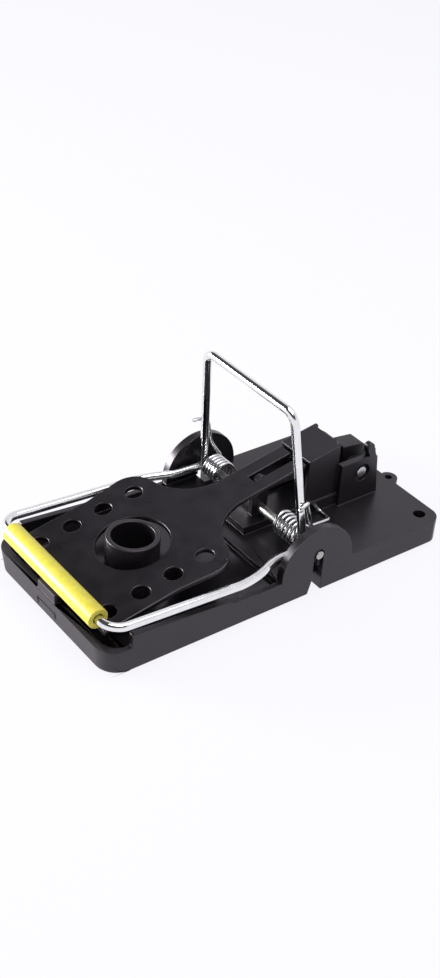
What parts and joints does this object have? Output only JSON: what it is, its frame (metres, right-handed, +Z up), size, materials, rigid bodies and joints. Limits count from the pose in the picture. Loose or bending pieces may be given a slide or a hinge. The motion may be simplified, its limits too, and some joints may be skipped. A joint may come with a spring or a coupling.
{
  "type": "snap mouse trap",
  "caption": "Snap mouse trap: moulded base with a tilting treadle round a bait cup, a pivoting catch and a sprung wire striker with a sleeved bar.",
  "frame": {"origin": "the middle of the base's outline, on the face that the trap stands on", "axes": "+X along the base from the striking end to the catch end, +Y across the base, +Z up"},
  "size_m": [0.1439, 0.0702, 0.0665],
  "materials": {
    "base_plastic": "moulded, semi-gloss",
    "cup_plastic": "moulded, semi-gloss",
    "treadle_plastic": "moulded, satin",
    "catch_plastic": "moulded, semi-gloss",
    "pin_steel": "bright",
    "axle_steel": "bright",
    "striker_wire": "bright plated",
    "sleeve_plastic": "smooth, slightly glossy",
    "spring_wire": "bright plated"
  },
  "bodies": {
    "base": {"base": "base_plastic", "bait_cup": "cup_plastic", "catch_pin": "pin_steel", "spring_near": "spring_wire", "spring_far": "spring_wire"},
    "striker": {"axle": "axle_steel", "strike_bar": "striker_wire", "setting_lever": "striker_wire", "bar_sleeve": "sleeve_plastic"},
    "treadle": {"treadle": "treadle_plastic"},
    "catch": {"catch": "catch_plastic"}
  },
  "joints": [
    {"name": "strike_hinge", "type": "hinge", "parent": "base", "child": "striker", "pos_m": [0.0124, 0, 0.015], "axis": [0, 1, 0], "range_deg": [0, 94], "stiffness_Nm_per_rad": 0.1, "springref_deg": -45.84, "deforming": ["spring_near", "spring_far"]},
    {"name": "treadle_hinge", "type": "hinge", "parent": "base", "child": "treadle", "pos_m": [0.033, 0, 0.0275], "axis": [0, 1, 0], "range_deg": [0, 1]},
    {"name": "catch_hinge", "type": "hinge", "parent": "base", "child": "catch", "pos_m": [0.0513, 0, 0.0197], "axis": [0, 1, 0], "range_deg": [-40, 0]}
  ]
}
